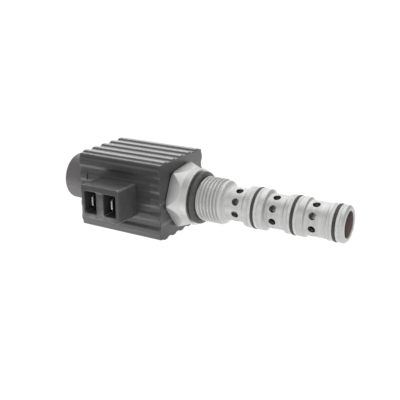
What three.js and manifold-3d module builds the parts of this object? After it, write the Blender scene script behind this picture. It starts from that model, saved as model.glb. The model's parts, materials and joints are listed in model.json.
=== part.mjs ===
// Four-way solenoid cartridge valve, size 10: a threaded cage with three side port rows and a nose port,
// a core tube with its armature and pole plug, and an over-moulded coil held on the tube by a plastic nut.
// Millimetres. X is the valve's axis, with +X towards the nose. The origin is on the axis, in the plane of
// the hex's front face, which seats on the manifold. +Z is up, and the coil's connector faces -Y.

import * as THREE from 'three';
import { mergeVertices } from 'three/addons/utils/BufferGeometryUtils.js';
import Module from 'manifold-3d';

const wasm = await Module();
wasm.setup();

// ---------------------------------------------------------------- driving dimensions
const GAP = 0.3;                    // clearance kept between neighbouring solids

// Adapter: hex, seal groove and cavity thread (7/8-14 UNF)
const HEX_AF = 28.6;                // 1 1/8 inch across flats
const HEX_BACK = -10.4;
const HEX_FACE_R = 14.2;            // radius of the turned front face
const HEX_CONE = -9.3;              // where the turned cone on the corners begins
const HEX_COLLAR = -3.5;            // where it meets the round collar in front of the flats
const SEAT = 0;
const SEAL_GROOVE_R = 9.8;
const THREAD_R = 11.11;             // 22.22 mm major diameter
const THREAD_ROOT_R = 10.0;
const THREAD_PITCH = 25.4 / 14;
const THREAD_START = 3.45;
const THREAD_CRESTS = 7;
const ADAPTER_END = 18.0;
const TUBE_BORE_R = 8.25;           // adapter bore that takes the core tube
const CAGE_BORE_R = 8.5;            // adapter bore that takes the cage shank
const WEB_BACK = -5.0;              // web between the two bores
const WEB_FRONT = 4.0;
const WEB_R = 4.2;

// Cage
const CAGE_BACK = 4.3;
const CAGE_NOSE = 76.3;
const BORE_R = 6.17;                // spool bore
const SHANK_R = 8.2;
const LANDS = [                     // [start, end, radius, seal centre, groove bottom radius]
  [28.0, 38.0, 9.85, 32.75, 8.15],
  [48.2, 57.5, 9.25, 52.2, 7.6],
  [68.2, 76.3, 8.65, 71.8, 7.15],
];
const GROOVE_HALF = 2.25;           // half the width of a seal groove
const MANIFOLD_SEAL_R = 1.475;      // hex seal, section radius
const SEAL_SECTION_R = 0.78;        // cage seals, section radius
const BACKUP_T = 1.15;              // back-up ring thickness
const PORT_ROWS = [23.2, 42.4, 61.6];
const PORT_R = 1.75;
const PORTS_PER_ROW = 8;
const PORT_PHASE = 109;             // degrees from +Y, first port of each row
const CLIP_X = 66.8;                // centre of the nose retaining ring

// Spool and its link
const SPOOL_R = 5.82;
const SPOOL_BACK = 14.0;
const SPOOL_NOSE = 65.9;
const SPOOL_WAIST_R = 3.9;
const SPOOL_DRILL_R = 2.3;
const STROKE = 3.2;

// Core tube, pole plug and armature
const TUBE_R = 7.95;
const TUBE_WALL = 0.7;
const TUBE_BACK = -63.3;
const TUBE_FRONT = -5.3;
const PLUG_FACE = -47.0;
const PLUG_R = 6.95;
const STUD_R = 5.0;
const STUD_BACK = -70.5;
const ARM_BACK = -42.9;
const ARM_FRONT = -16.8;
const ARM_R = 6.9;
const SPRING_BORE_R = 3.5;
const SPRING_R = 2.7;               // mean radius
const SPRING_WIRE_R = 0.4;
const SPRING_BACK = -52.8;
const SPRING_FRONT = -37.6;
const SPRING_TURNS = 7;

// Coil
const COIL_BACK = -59.2;
const COIL_FRONT = -10.7;
const COIL_HY = 19.4;               // half width of the block between its ribs
const COIL_HZ = 18.95;              // half height of the block between its ribs
const CORNER = 0.9;                 // corner chamfer
const RIBS = 5;                     // lengthwise cooling ribs on each face
const RIB_PITCH = 7.35;
const RIB_CREST = 1.25;             // half widths of a rib at its crest and root
const RIB_ROOT = 2.45;
const RIB_H = 0.8;
const PANEL_X = [-54.6, -16.3];     // lower panel around the connector
const PANEL_Z = [-9.6, 9.6];
const COIL_BORE_R = 9.0;
const SHELL_R = 16.6;
const SHELL_WALL = 1.6;

// Connector on the coil's -Y side
const CON_X = [-46.75, -24.75];
const CON_Z = [-8.4, 8.4];
const CON_FACE = -34.3;
const SOCKET_X = [[-44.9, -37.8], [-33.4, -26.3]];
const SOCKET_Z = [-5.5, 5.5];
const SOCKET_FLOOR = -20.2;
const BLADE_X = [-41.5, -29.9];
const BLADE_Z = 0;
const BLADE_W = 6.3;
const BLADE_T = 0.8;
const BLADE_TIP = -32.4;
const BLADE_ROOT = -15.3;

// Coil nut
const NUT_R = 12.25;
const NUT_FRONT = -59.5;
const NUT_BACK = -76.3;

// ---------------------------------------------------------------- helpers
const SEG_L = 28;
const SEG_M = 24;
const SEG_S = 16;

function solid(geometry) {
  const g = geometry.clone();
  for (const name of Object.keys(g.attributes)) if (name !== 'position') g.deleteAttribute(name);
  const m = mergeVertices(g, 1e-4);
  const at = m.attributes.position;
  const idx = m.index.array;
  const tri = [];
  let volume = 0;
  const a = new THREE.Vector3(), b = new THREE.Vector3(), c = new THREE.Vector3();
  for (let i = 0; i < idx.length; i += 3) {
    const [p, q, r] = [idx[i], idx[i + 1], idx[i + 2]];
    if (p === q || q === r || r === p) continue;
    tri.push(p, q, r);
    a.fromBufferAttribute(at, p); b.fromBufferAttribute(at, q); c.fromBufferAttribute(at, r);
    volume += a.dot(b.cross(c)) / 6;
  }
  if (volume < 0) for (let i = 0; i < tri.length; i += 3) [tri[i + 1], tri[i + 2]] = [tri[i + 2], tri[i + 1]];
  return new wasm.Manifold(new wasm.Mesh({
    numProp: 3,
    vertProperties: new Float32Array(at.array),
    triVerts: new Uint32Array(tri),
  }));
}

function geometryOf(manifold) {
  const m = manifold.getMesh();
  const g = new THREE.BufferGeometry();
  const n = m.vertProperties.length / m.numProp;
  const pos = new Float32Array(n * 3);
  for (let i = 0; i < n; i++) for (let k = 0; k < 3; k++) pos[i * 3 + k] = m.vertProperties[i * m.numProp + k];
  g.setAttribute('position', new THREE.BufferAttribute(pos, 3));
  g.setIndex(Array.from(m.triVerts));
  g.computeVertexNormals();
  return g;
}

// Solid of revolution about X from a closed profile of [x, r] points.
function turned(profile, segments = SEG_M, phase = 0) {
  const pts = profile.map(([x, r]) => new THREE.Vector2(r, x));
  if (profile[0][1] > 0 || profile[profile.length - 1][1] > 0) pts.push(pts[0].clone());
  const g = new THREE.LatheGeometry(pts, segments, phase);
  g.rotateZ(-Math.PI / 2);
  return solid(g);
}

function ring(x0, x1, r0, r1, segments = SEG_M, phase = 0) {
  if (r0 <= 0) return turned([[x0, 0], [x0, r1], [x1, r1], [x1, 0]], segments, phase);
  return turned([[x0, r0], [x0, r1], [x1, r1], [x1, r0]], segments, phase);
}

function torus(x, r, section, segments = SEG_M, sides = 6) {
  const g = new THREE.TorusGeometry(r, section, sides, segments);
  g.rotateY(Math.PI / 2);
  g.translate(x, 0, 0);
  return solid(g);
}

function box(x, y, z) {
  const g = new THREE.BoxGeometry(x[1] - x[0], y[1] - y[0], z[1] - z[0]);
  g.translate((x[0] + x[1]) / 2, (y[0] + y[1]) / 2, (z[0] + z[1]) / 2);
  return solid(g);
}

// Prism along X from a closed outline of [y, z] points.
function prism(outline, x0, x1, holes = []) {
  const shape = new THREE.Shape(outline.map(([y, z]) => new THREE.Vector2(y, z)));
  for (const h of holes) shape.holes.push(new THREE.Path(h.map(([y, z]) => new THREE.Vector2(y, z))));
  const g = new THREE.ExtrudeGeometry(shape, { depth: x1 - x0, bevelEnabled: false });
  // extruded along +Z: x is y, y is z, z is x
  g.applyMatrix4(new THREE.Matrix4().set(0, 0, 1, x0, 1, 0, 0, 0, 0, 1, 0, 0, 0, 0, 0, 1));
  return solid(g);
}

function cut(base, ...tools) {
  let out = base;
  for (const t of tools) out = out.subtract(t);
  return out;
}

const valve = new THREE.Group();
const FINISH = {
  zinc: { color: 0xb9bcb6, roughness: 0.42, metalness: 0.85 },
  steel: { color: 0xc3c5c1, roughness: 0.35, metalness: 0.9 },
  cage: { color: 0xb3b5af, roughness: 0.45, metalness: 0.85 },
  ground: { color: 0xd4d5d2, roughness: 0.2, metalness: 0.95 },
  nitrile: { color: 0x1b1b1c, roughness: 0.55, metalness: 0 },
  backup: { color: 0xe9e8e3, roughness: 0.5, metalness: 0 },
  mould: { color: 0x2f2e30, roughness: 0.5, metalness: 0 },
  cap: { color: 0x3a3636, roughness: 0.55, metalness: 0 },
  bobbin: { color: 0xd8d2bf, roughness: 0.6, metalness: 0 },
  copper: { color: 0xa8562a, roughness: 0.35, metalness: 0.9 },
  tin: { color: 0xd9dadb, roughness: 0.25, metalness: 0.95 },
  brass: { color: 0xc2a04a, roughness: 0.3, metalness: 0.9 },
  spring: { color: 0x9a9ca0, roughness: 0.3, metalness: 0.9 },
};

function add(name, manifold, finish) {
  const mesh = new THREE.Mesh(geometryOf(manifold), new THREE.MeshStandardMaterial(FINISH[finish]));
  mesh.name = name;
  valve.add(mesh);
  return mesh;
}

// ---------------------------------------------------------------- adapter
{
  // hex with a corner near -Y, as a prism trimmed by two turned cones
  const corner = HEX_AF / Math.sqrt(3);
  const hex = [];
  for (let k = 0; k < 6; k++) {
    const a = THREE.MathUtils.degToRad(187 + 60 * k);
    hex.push([corner * Math.cos(a), corner * Math.sin(a)]);
  }
  const trim = turned([
    [HEX_BACK, 0], [HEX_BACK, 15.2], [HEX_BACK + 0.8, 16.55], [HEX_CONE, 16.55], [HEX_COLLAR, HEX_FACE_R],
    [SEAT - 0.3, HEX_FACE_R], [SEAT, HEX_FACE_R - 0.3], [SEAT, 0],
  ], SEG_L);
  const head = prism(hex, HEX_BACK, SEAT).intersect(trim);
  // threaded body: groove for the seal, crests at the thread's pitch, lead-in
  const body = [[-1, 0], [-1, SEAL_GROOVE_R], [THREAD_START - 0.75, SEAL_GROOVE_R]];
  for (let k = 0; k < THREAD_CRESTS; k++) {
    const x = THREAD_START + k * THREAD_PITCH;
    body.push([x, THREAD_R], [x + 0.3, THREAD_R]);
    if (k < THREAD_CRESTS - 1) body.push([x + 0.3 + (THREAD_PITCH - 0.3) / 2, THREAD_ROOT_R]);
  }
  body.push([15.1, 10.3], [15.4, 10.75], [16.1, 10.55], [17.0, 9.6], [ADAPTER_END, 8.8], [ADAPTER_END, 0]);
  const bore = turned([
    [HEX_BACK - 1, 0], [HEX_BACK - 1, TUBE_BORE_R], [-9.2, TUBE_BORE_R], [-9.2, 9.5], [-6.9, 9.5], [-6.9, TUBE_BORE_R],
    [WEB_BACK, TUBE_BORE_R], [WEB_BACK, WEB_R], [WEB_FRONT, WEB_R], [WEB_FRONT, CAGE_BORE_R],
    [ADAPTER_END + 1, CAGE_BORE_R], [ADAPTER_END + 1, 0],
  ]);
  add('hex_adapter', cut(head.add(turned(body, SEG_L)), bore), 'zinc');
  add('manifold_seal', torus(SEAT + GAP + MANIFOLD_SEAL_R, 11.6, MANIFOLD_SEAL_R, SEG_L, 8), 'nitrile');
  add('tube_seal', torus(-8.05, 8.85, 0.42, SEG_M, 6), 'nitrile');
}

// ---------------------------------------------------------------- cage
{
  const p = [[CAGE_BACK, BORE_R], [CAGE_BACK, SHANK_R - 0.4], [CAGE_BACK + 0.4, SHANK_R]];
  for (const [x0, x1, r, seal, bottom] of LANDS) {
    p.push([x0 - (r - SHANK_R) * 0.6, SHANK_R], [x0, r]);
    p.push([seal - GROOVE_HALF, r], [seal - GROOVE_HALF, bottom], [seal + GROOVE_HALF, bottom], [seal + GROOVE_HALF, r]);
    if (x1 < CAGE_NOSE) p.push([x1, r], [x1 + (r - SHANK_R) * 0.5, SHANK_R]);
    else p.push([x1 - 0.7, r], [x1, r - 0.8]);
  }
  p.push([CAGE_NOSE, BORE_R + 0.35], [CAGE_NOSE - 0.35, BORE_R]);
  p.push([CLIP_X + 0.8, BORE_R], [CLIP_X + 0.8, 7.0], [CLIP_X - 0.8, 7.0], [CLIP_X - 0.8, BORE_R]);
  let cage = turned(p);
  for (const x of PORT_ROWS) {
    for (let k = 0; k < PORTS_PER_ROW; k++) {
      const g = new THREE.CylinderGeometry(PORT_R, PORT_R, 6, 10);
      g.translate(0, 8, 0);
      g.rotateX(THREE.MathUtils.degToRad(PORT_PHASE + 360 / PORTS_PER_ROW * k));
      g.translate(x, 0, 0);
      cage = cage.subtract(solid(g));
    }
  }
  add('cage', cage, 'cage');

  LANDS.forEach(([, , r, seal], i) => {
    const c = r + 0.25 - SEAL_SECTION_R;
    const inner = LANDS[i][4] + GAP;
    add(`cage_seal_${i + 1}`, torus(seal, c, SEAL_SECTION_R), 'nitrile');
    const near = SEAL_SECTION_R + 0.25;
    add(`backup_ring_${i + 1}a`, ring(seal - near - BACKUP_T, seal - near, inner, r), 'backup');
    add(`backup_ring_${i + 1}b`, ring(seal + near, seal + near + BACKUP_T, inner, r), 'backup');
  });

  // internal retaining ring in the nose, split at one side
  const clip = ring(CLIP_X - 0.45, CLIP_X + 0.45, 4.7, 6.65);
  add('nose_retaining_ring', cut(clip, box([CLIP_X - 1, CLIP_X + 1], [-1.2, 1.2], [-8, 0])), 'spring');
}

// ---------------------------------------------------------------- spool and link
{
  const spool = turned([
    [SPOOL_BACK, 0], [SPOOL_BACK, SPOOL_R - 0.4], [SPOOL_BACK + 0.4, SPOOL_R], [19.5, SPOOL_R], [19.5, SPOOL_WAIST_R],
    [27.5, SPOOL_WAIST_R], [27.5, SPOOL_R], [36.0, SPOOL_R], [36.0, SPOOL_WAIST_R], [43.0, SPOOL_WAIST_R],
    [43.0, SPOOL_R], [54.5, SPOOL_R], [54.5, SPOOL_WAIST_R], [62.2, SPOOL_WAIST_R], [62.2, SPOOL_R],
    [SPOOL_NOSE - 0.4, SPOOL_R], [SPOOL_NOSE, SPOOL_R - 0.4], [SPOOL_NOSE, 0],
  ]);
  // T slot for the link's head, axial drilling and one cross drilling
  const slot = [
    box([SPOOL_BACK - 1, SPOOL_BACK + 2.2], [-2.0, 2.0], [-8, 2.2]),
    box([SPOOL_BACK + 2.0, SPOOL_BACK + 4.6], [-3.6, 3.6], [-8, 3.6]),
  ];
  const drill = ring(24.0, SPOOL_NOSE + 1, 0, SPOOL_DRILL_R, SEG_S);
  const cross = new THREE.CylinderGeometry(1.3, 1.3, 16, 12);
  cross.translate(25.8, 0, 0);
  add('spool', cut(spool, ...slot, drill, solid(cross)), 'ground');

  // link: a thin rod with a head at each end
  add('armature_link', turned([
    [-22.0, 0], [-22.0, 2.9], [-20.2, 2.9], [-20.2, 1.6], [16.4, 1.6], [16.4, 3.0], [18.2, 3.0], [18.2, 0],
  ], SEG_S), 'steel');

  // armature: slot for the link's head in front, spring pocket behind, two oil grooves along it
  const arm = turned([
    [ARM_BACK, 0], [ARM_BACK, ARM_R - 0.5], [ARM_BACK + 0.5, ARM_R], [ARM_FRONT - 0.5, ARM_R], [ARM_FRONT, ARM_R - 0.5], [ARM_FRONT, 0],
  ]);
  add('armature', cut(arm,
    ring(ARM_BACK - 1, SPRING_FRONT + GAP, 0, SPRING_BORE_R, SEG_S),
    box([ARM_FRONT - 3.2, ARM_FRONT + 1], [-2.0, 2.0], [-8, 2.2]),
    box([-22.6, ARM_FRONT - 3.0], [-3.5, 3.5], [-8, 3.5]),
    box([ARM_BACK - 1, ARM_FRONT + 1], [-0.9, 0.9], [5.6, 8]),
  ), 'steel');
  add('residual_shim', ring(ARM_BACK - GAP - 0.3, ARM_BACK - GAP, 3.8, 6.6), 'brass');
}

// ---------------------------------------------------------------- core tube, pole plug, return spring
{
  add('core_tube', ring(TUBE_BACK, TUBE_FRONT, TUBE_R - TUBE_WALL, TUBE_R), 'steel');
  const plug = turned([
    [STUD_BACK, 0], [STUD_BACK, STUD_R - 0.8], [STUD_BACK + 0.8, STUD_R], [-64.6, STUD_R], [-64.6, STUD_R - 0.7], [TUBE_BACK - GAP, STUD_R - 0.7],
    [TUBE_BACK - GAP, PLUG_R], [PLUG_FACE - 0.4, PLUG_R], [PLUG_FACE, PLUG_R - 0.4], [PLUG_FACE, 0],
  ]);
  add('pole_plug', cut(plug, ring(SPRING_BACK - GAP, PLUG_FACE + 1, 0, SPRING_BORE_R, SEG_S)), 'steel');

  // return spring with its end turns closed
  const points = [];
  const steps = SPRING_TURNS * 12;
  const span = SPRING_FRONT - SPRING_BACK - 2 * SPRING_WIRE_R;
  for (let i = 0; i <= steps; i++) {
    const t = i / steps;
    const turn = t * SPRING_TURNS;
    const closed = 2 * SPRING_WIRE_R + 0.12;
    let x;
    if (turn <= 1) x = turn * closed;
    else if (turn >= SPRING_TURNS - 1) x = span - (SPRING_TURNS - turn) * closed;
    else x = closed + (turn - 1) / (SPRING_TURNS - 2) * (span - 2 * closed);
    const a = turn * 2 * Math.PI;
    points.push(new THREE.Vector3(SPRING_BACK + SPRING_WIRE_R + x, SPRING_R * Math.cos(a), SPRING_R * Math.sin(a)));
  }
  const wire = new THREE.Shape();
  for (let i = 0; i < 5; i++) {
    const a = i / 5 * 2 * Math.PI;
    const [px, py] = [SPRING_WIRE_R * Math.cos(a), SPRING_WIRE_R * Math.sin(a)];
    if (i) wire.lineTo(px, py); else wire.moveTo(px, py);
  }
  wire.closePath();
  const path = new THREE.CatmullRomCurve3(points);
  add('return_spring', solid(new THREE.ExtrudeGeometry(wire, { steps, extrudePath: path, bevelEnabled: false })), 'spring');
}

// ---------------------------------------------------------------- coil
{
  // outline of the block with its ribs, anticlockwise seen from +X
  const outline = [];
  const side = (half, level, put) => {
    put(-half + CORNER, level);
    for (let k = 0; k < RIBS; k++) {
      const c = (k - (RIBS - 1) / 2) * RIB_PITCH;
      put(c - RIB_ROOT, level); put(c - RIB_CREST, level + RIB_H); put(c + RIB_CREST, level + RIB_H); put(c + RIB_ROOT, level);
    }
    put(half - CORNER, level);
  };
  side(COIL_HY, COIL_HZ, (t, o) => outline.push([t, -o]));            // bottom, towards +Y
  side(COIL_HZ, COIL_HY, (t, o) => outline.push([o, t]));             // +Y side, upwards
  side(COIL_HY, COIL_HZ, (t, o) => outline.push([-t, o]));            // top, towards -Y
  side(COIL_HZ, COIL_HY, (t, o) => outline.push([-o, -t]));           // -Y side, downwards
  let mould = prism(outline, COIL_BACK, COIL_FRONT);
  mould = mould.subtract(box(PANEL_X, [-COIL_HY - RIB_H - 1, -COIL_HY - RIB_H + 0.5], PANEL_Z));

  // root of the connector, which is the floor of both sockets, with the slots the blades come through
  mould = mould.add(box(CON_X, [SOCKET_FLOOR, -17.2], CON_Z));
  // shroud: four walls round the two blades and a web between their sockets
  let shroud = box(CON_X, [CON_FACE, SOCKET_FLOOR - GAP], CON_Z);
  for (const sx of SOCKET_X) shroud = shroud.subtract(box(sx, [CON_FACE - 1, SOCKET_FLOOR + 1], SOCKET_Z));
  add('connector_shroud', shroud, 'mould');
  for (const bx of BLADE_X) {
    mould = mould.subtract(box([bx - BLADE_T / 2 - GAP, bx + BLADE_T / 2 + GAP], [SOCKET_FLOOR - 1, -14],
      [BLADE_Z - BLADE_W / 2 - GAP, BLADE_Z + BLADE_W / 2 + GAP]));
  }
  // hollow for the magnetic circuit, and the bore for the core tube
  const hollow = turned([
    [COIL_BACK - 1, 0], [COIL_BACK - 1, COIL_BORE_R], [-56.6, COIL_BORE_R], [-56.6, 16.9], [-12.4, 16.9], [-12.4, COIL_BORE_R],
    [COIL_FRONT + 1, COIL_BORE_R], [COIL_FRONT + 1, 0],
  ], SEG_L);
  // shallow counterbore for the seal against the hex
  const face = ring(COIL_FRONT - 1.1, COIL_FRONT + 1, 0, 11.4, SEG_L);
  add('coil_mould', cut(mould, hollow, face), 'mould');
  add('coil_front_seal', torus(COIL_FRONT - 0.3, 10.2, 0.5, SEG_M, 6), 'nitrile');

  add('flux_washer_rear', ring(-56.3, -53.6, 8.3, SHELL_R), 'steel');
  add('flux_washer_front', ring(-15.4, -12.7, 8.3, SHELL_R), 'steel');
  add('flux_shell', cut(ring(-53.3, -15.7, SHELL_R - SHELL_WALL, SHELL_R, SEG_L),
    box([-43.5, -27.9], [-20, -8], [-4.2, 4.2])), 'steel');
  add('bobbin', turned([
    [-53.2, 8.3], [-53.2, 14.6], [-51.9, 14.6], [-51.9, 9.3], [-17.1, 9.3], [-17.1, 14.6], [-15.8, 14.6], [-15.8, 8.3],
  ]), 'bobbin');
  add('winding', ring(-51.5, -17.5, 9.6, 14.3), 'copper');
  BLADE_X.forEach((bx, i) => {
    const x = [bx - BLADE_T / 2, bx + BLADE_T / 2];
    const z = [BLADE_Z - BLADE_W / 2, BLADE_Z + BLADE_W / 2];
    // blade with its two tip corners cut off
    const blade = prism([
      [BLADE_ROOT, z[0]], [BLADE_TIP + 1.0, z[0]], [BLADE_TIP, z[0] + 1.2], [BLADE_TIP, z[1] - 1.2], [BLADE_TIP + 1.0, z[1]], [BLADE_ROOT, z[1]],
    ].reverse(), x[0], x[1]);
    // locking dimple hole through the blade
    const g = new THREE.CylinderGeometry(0.8, 0.8, 3, 10);
    g.rotateZ(Math.PI / 2);
    g.translate(bx, BLADE_TIP + 3.6, BLADE_Z);
    add(i ? 'spade_terminal_front' : 'spade_terminal_rear', cut(blade, solid(g)), 'tin');
  });
}

// ---------------------------------------------------------------- coil nut
{
  const nut = turned([
    [NUT_FRONT, 0], [NUT_FRONT, NUT_R - 0.5], [NUT_FRONT - 0.5, NUT_R], [NUT_BACK + 1.5, NUT_R], [NUT_BACK + 0.5, NUT_R - 0.4],
    [NUT_BACK, NUT_R - 1.3], [NUT_BACK, 0],
  ].reverse(), SEG_L);
  const bore = turned([
    [NUT_FRONT + 1, 0], [NUT_FRONT + 1, 11.0], [NUT_FRONT - 2.2, 11.0], [NUT_FRONT - 2.2, TUBE_R + GAP], [TUBE_BACK - 1.2, TUBE_R + GAP],
    [TUBE_BACK - 1.2, STUD_R + GAP], [STUD_BACK - 0.8, STUD_R + GAP], [STUD_BACK - 0.8, 0],
  ].reverse());
  add('coil_nut', cut(nut, bore), 'cap');
  add('nut_seal', torus(NUT_FRONT - 1.0, 9.6, 0.85), 'nitrile');
}

export default valve;
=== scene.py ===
import json
import math

import bmesh
import bpy
import numpy as np
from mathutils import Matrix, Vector
from mathutils.geometry import tessellate_polygon

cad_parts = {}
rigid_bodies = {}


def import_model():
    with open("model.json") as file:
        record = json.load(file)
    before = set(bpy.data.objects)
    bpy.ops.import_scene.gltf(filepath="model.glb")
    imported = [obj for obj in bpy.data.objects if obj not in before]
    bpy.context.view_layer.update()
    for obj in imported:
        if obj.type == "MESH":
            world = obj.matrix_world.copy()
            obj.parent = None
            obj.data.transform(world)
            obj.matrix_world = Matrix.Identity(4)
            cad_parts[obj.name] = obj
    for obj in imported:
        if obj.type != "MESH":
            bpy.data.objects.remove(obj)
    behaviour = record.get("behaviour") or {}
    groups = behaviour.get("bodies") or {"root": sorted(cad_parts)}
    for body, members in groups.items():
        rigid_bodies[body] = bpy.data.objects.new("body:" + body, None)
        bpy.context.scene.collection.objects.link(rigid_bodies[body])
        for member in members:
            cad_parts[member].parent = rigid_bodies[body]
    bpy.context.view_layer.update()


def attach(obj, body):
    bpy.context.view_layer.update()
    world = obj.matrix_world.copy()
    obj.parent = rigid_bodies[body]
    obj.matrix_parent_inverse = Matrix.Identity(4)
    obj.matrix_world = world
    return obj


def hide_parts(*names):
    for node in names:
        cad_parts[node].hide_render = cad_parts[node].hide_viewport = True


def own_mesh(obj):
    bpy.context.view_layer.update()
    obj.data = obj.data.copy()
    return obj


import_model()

MM = 0.001
TAU = 2 * math.pi
ROWS = (23.2, 42.4, 61.6)             # the three rows of ports along the cage

# ------------------------------------------------------------------ camera
cam_data = bpy.data.cameras.new("camera")
cam_data.sensor_width = 36
cam_data.lens = 62.28
cam_data.clip_start, cam_data.clip_end = 0.01, 20
camera = bpy.data.objects.new("camera", cam_data)
camera.location = (0.164038, -0.279553, 0.108430)
camera.rotation_euler = (math.radians(71.249), 0, math.radians(30.426))
bpy.context.scene.collection.objects.link(camera)
bpy.context.scene.camera = camera


# ------------------------------------------------------------------ mesh tools
def fillet(points, closed=True, steps=4):
    """Rounds the corners of a polyline of (a, b, radius) points, with the same number of points for each rounded corner."""
    out, n = [], len(points)
    for i, p in enumerate(points):
        a = np.array(p[:2], float)
        f = p[2] if len(p) > 2 else 0
        if f <= 0 or (not closed and i in (0, n - 1)):
            out.append((a[0], a[1]))
            continue
        u = np.array(points[i - 1][:2], float) - a
        v = np.array(points[(i + 1) % n][:2], float) - a
        lu, lv = np.linalg.norm(u), np.linalg.norm(v)
        if lu < 1e-9 or lv < 1e-9:
            out.extend([(a[0], a[1])] * (steps + 1))
            continue
        u, v = u / lu, v / lv
        angle = math.acos(max(-1.0, min(1.0, float(u @ v))))
        if angle > math.pi - 0.01 or angle < 0.01:
            out.extend([(a[0], a[1])] * (steps + 1))
            continue
        t = min(f / math.tan(angle / 2), 0.48 * lu, 0.48 * lv)
        r = t * math.tan(angle / 2)
        centre = a + (u + v) / np.linalg.norm(u + v) * (r / math.sin(angle / 2))
        p0, p1 = a + u * t - centre, a + v * t - centre
        a0, a1 = math.atan2(p0[1], p0[0]), math.atan2(p1[1], p1[0])
        d = (a1 - a0 + math.pi) % TAU - math.pi
        for j in range(steps + 1):
            q = a0 + d * j / steps
            out.append((centre[0] + r * math.cos(q), centre[1] + r * math.sin(q)))
    return out


def revolve(profile, seg=96, closed=True, thetas=None, shape=None):
    """A lathe about X from (x, r) points. shape(x, r, theta) may change the radius."""
    th = list(thetas) if thetas is not None else [TAU * k / seg for k in range(seg)]
    m, verts, rows, faces = len(th), [], [], []
    for x, r in profile:
        if r < 1e-6:
            rows.append([len(verts)] * m)
            verts.append((x, 0.0, 0.0))
        else:
            rows.append(list(range(len(verts), len(verts) + m)))
            for t in th:
                q = shape(x, r, t) if shape else r
                verts.append((x, q * math.cos(t), q * math.sin(t)))
    n = len(profile)
    for i in range(n if closed else n - 1):
        a, b = rows[i], rows[(i + 1) % n]
        for j in range(m):
            k = (j + 1) % m
            quad = list(dict.fromkeys([a[j], a[k], b[k], b[j]]))
            if len(quad) > 2:
                faces.append(quad)
    return verts, faces


def join(*parts):
    verts, faces = [], []
    for v, f in parts:
        base = len(verts)
        verts.extend(v)
        faces.extend([[i + base for i in q] for q in f])
    return verts, faces


def clean(mesh, dist=2e-7):
    bm = bmesh.new()
    bm.from_mesh(mesh)
    bmesh.ops.remove_doubles(bm, verts=bm.verts, dist=dist)
    bmesh.ops.dissolve_degenerate(bm, dist=dist, edges=bm.edges)
    bmesh.ops.recalc_face_normals(bm, faces=bm.faces)
    bm.to_mesh(mesh)
    bm.free()
    mesh.update()


def mesh_object(name, verts, faces, tidy=True):
    mesh = bpy.data.meshes.new(name)
    mesh.from_pydata([(v[0] * MM, v[1] * MM, v[2] * MM) for v in verts], [], faces)
    if tidy:
        clean(mesh)
    obj = bpy.data.objects.new(name, mesh)
    bpy.context.scene.collection.objects.link(obj)
    return obj


def bake_modifiers(obj):
    bpy.context.view_layer.update()
    graph = bpy.context.evaluated_depsgraph_get()
    mesh = bpy.data.meshes.new_from_object(obj.evaluated_get(graph), depsgraph=graph)
    obj.modifiers.clear()
    obj.data = mesh
    return obj


def box_mesh(x, y, z):
    v = [(a, b, c) for a in x for b in y for c in z]
    f = [(0, 1, 3, 2), (4, 6, 7, 5), (0, 4, 5, 1), (2, 3, 7, 6), (0, 2, 6, 4), (1, 5, 7, 3)]
    return v, [list(q) for q in f]


def carve(obj, *tools, operation="DIFFERENCE"):
    """Cuts or joins closed meshes, given as (verts, faces) in millimetres."""
    for k, (v, f) in enumerate(tools):
        tool = mesh_object(f"{obj.name}_tool_{k}", v, f)
        mod = obj.modifiers.new("cut", "BOOLEAN")
        mod.operation, mod.solver, mod.object = operation, "EXACT", tool
        bake_modifiers(obj)
        bpy.data.objects.remove(tool)
    clean(obj.data)
    return obj


def finish_piece(obj, body, material, nodes, sharp=32, bevel=0, bevel_steps=2, bevel_angle=35):
    """Shading, material and the piece's place in the frame."""
    if bevel:
        mod = obj.modifiers.new("edges", "BEVEL")
        mod.width, mod.segments, mod.limit_method = bevel * MM, bevel_steps, "ANGLE"
        mod.angle_limit = math.radians(bevel_angle)
        mod.use_clamp_overlap = True
        bake_modifiers(obj)
        clean(obj.data, 1e-7)
    mesh = obj.data
    mesh.shade_smooth()
    mesh.set_sharp_from_angle(angle=math.radians(sharp))
    weighted = obj.modifiers.new("normals", "WEIGHTED_NORMAL")
    weighted.keep_sharp = True
    weighted.weight = 60
    bake_modifiers(obj)
    obj.data.materials.clear()
    obj.data.materials.append(material)
    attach(obj, body)
    if nodes:
        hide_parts(*([nodes] if isinstance(nodes, str) else nodes))
    return obj


# ------------------------------------------------------------------ materials
def start(name):
    m = bpy.data.materials.new(name)
    m.use_nodes = True
    t = m.node_tree
    t.nodes.clear()
    out = t.nodes.new("ShaderNodeOutputMaterial")
    shader = t.nodes.new("ShaderNodeBsdfPrincipled")
    t.links.new(shader.outputs[0], out.inputs[0])
    place = t.nodes.new("ShaderNodeTexCoord").outputs["Object"]
    return m, t, shader, place


def noise(t, place, scale, detail=3.0, rough=0.55, stretch=None):
    if stretch:
        mapping = t.nodes.new("ShaderNodeMapping")
        mapping.inputs["Scale"].default_value = stretch
        t.links.new(place, mapping.inputs["Vector"])
        place = mapping.outputs[0]
    n = t.nodes.new("ShaderNodeTexNoise")
    n.inputs["Scale"].default_value = scale
    n.inputs["Detail"].default_value = detail
    n.inputs["Roughness"].default_value = rough
    t.links.new(place, n.inputs["Vector"])
    return n.outputs["Fac"]


def rings(t, place, per_metre, detail=3.0):
    """One-dimensional noise along X: the marks that turning leaves round a part."""
    split = t.nodes.new("ShaderNodeSeparateXYZ")
    t.links.new(place, split.inputs[0])
    n = t.nodes.new("ShaderNodeTexNoise")
    n.noise_dimensions = "1D"
    n.inputs["Scale"].default_value = per_metre
    n.inputs["Detail"].default_value = detail
    t.links.new(split.outputs["X"], n.inputs["W"])
    return n.outputs["Fac"]


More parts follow.
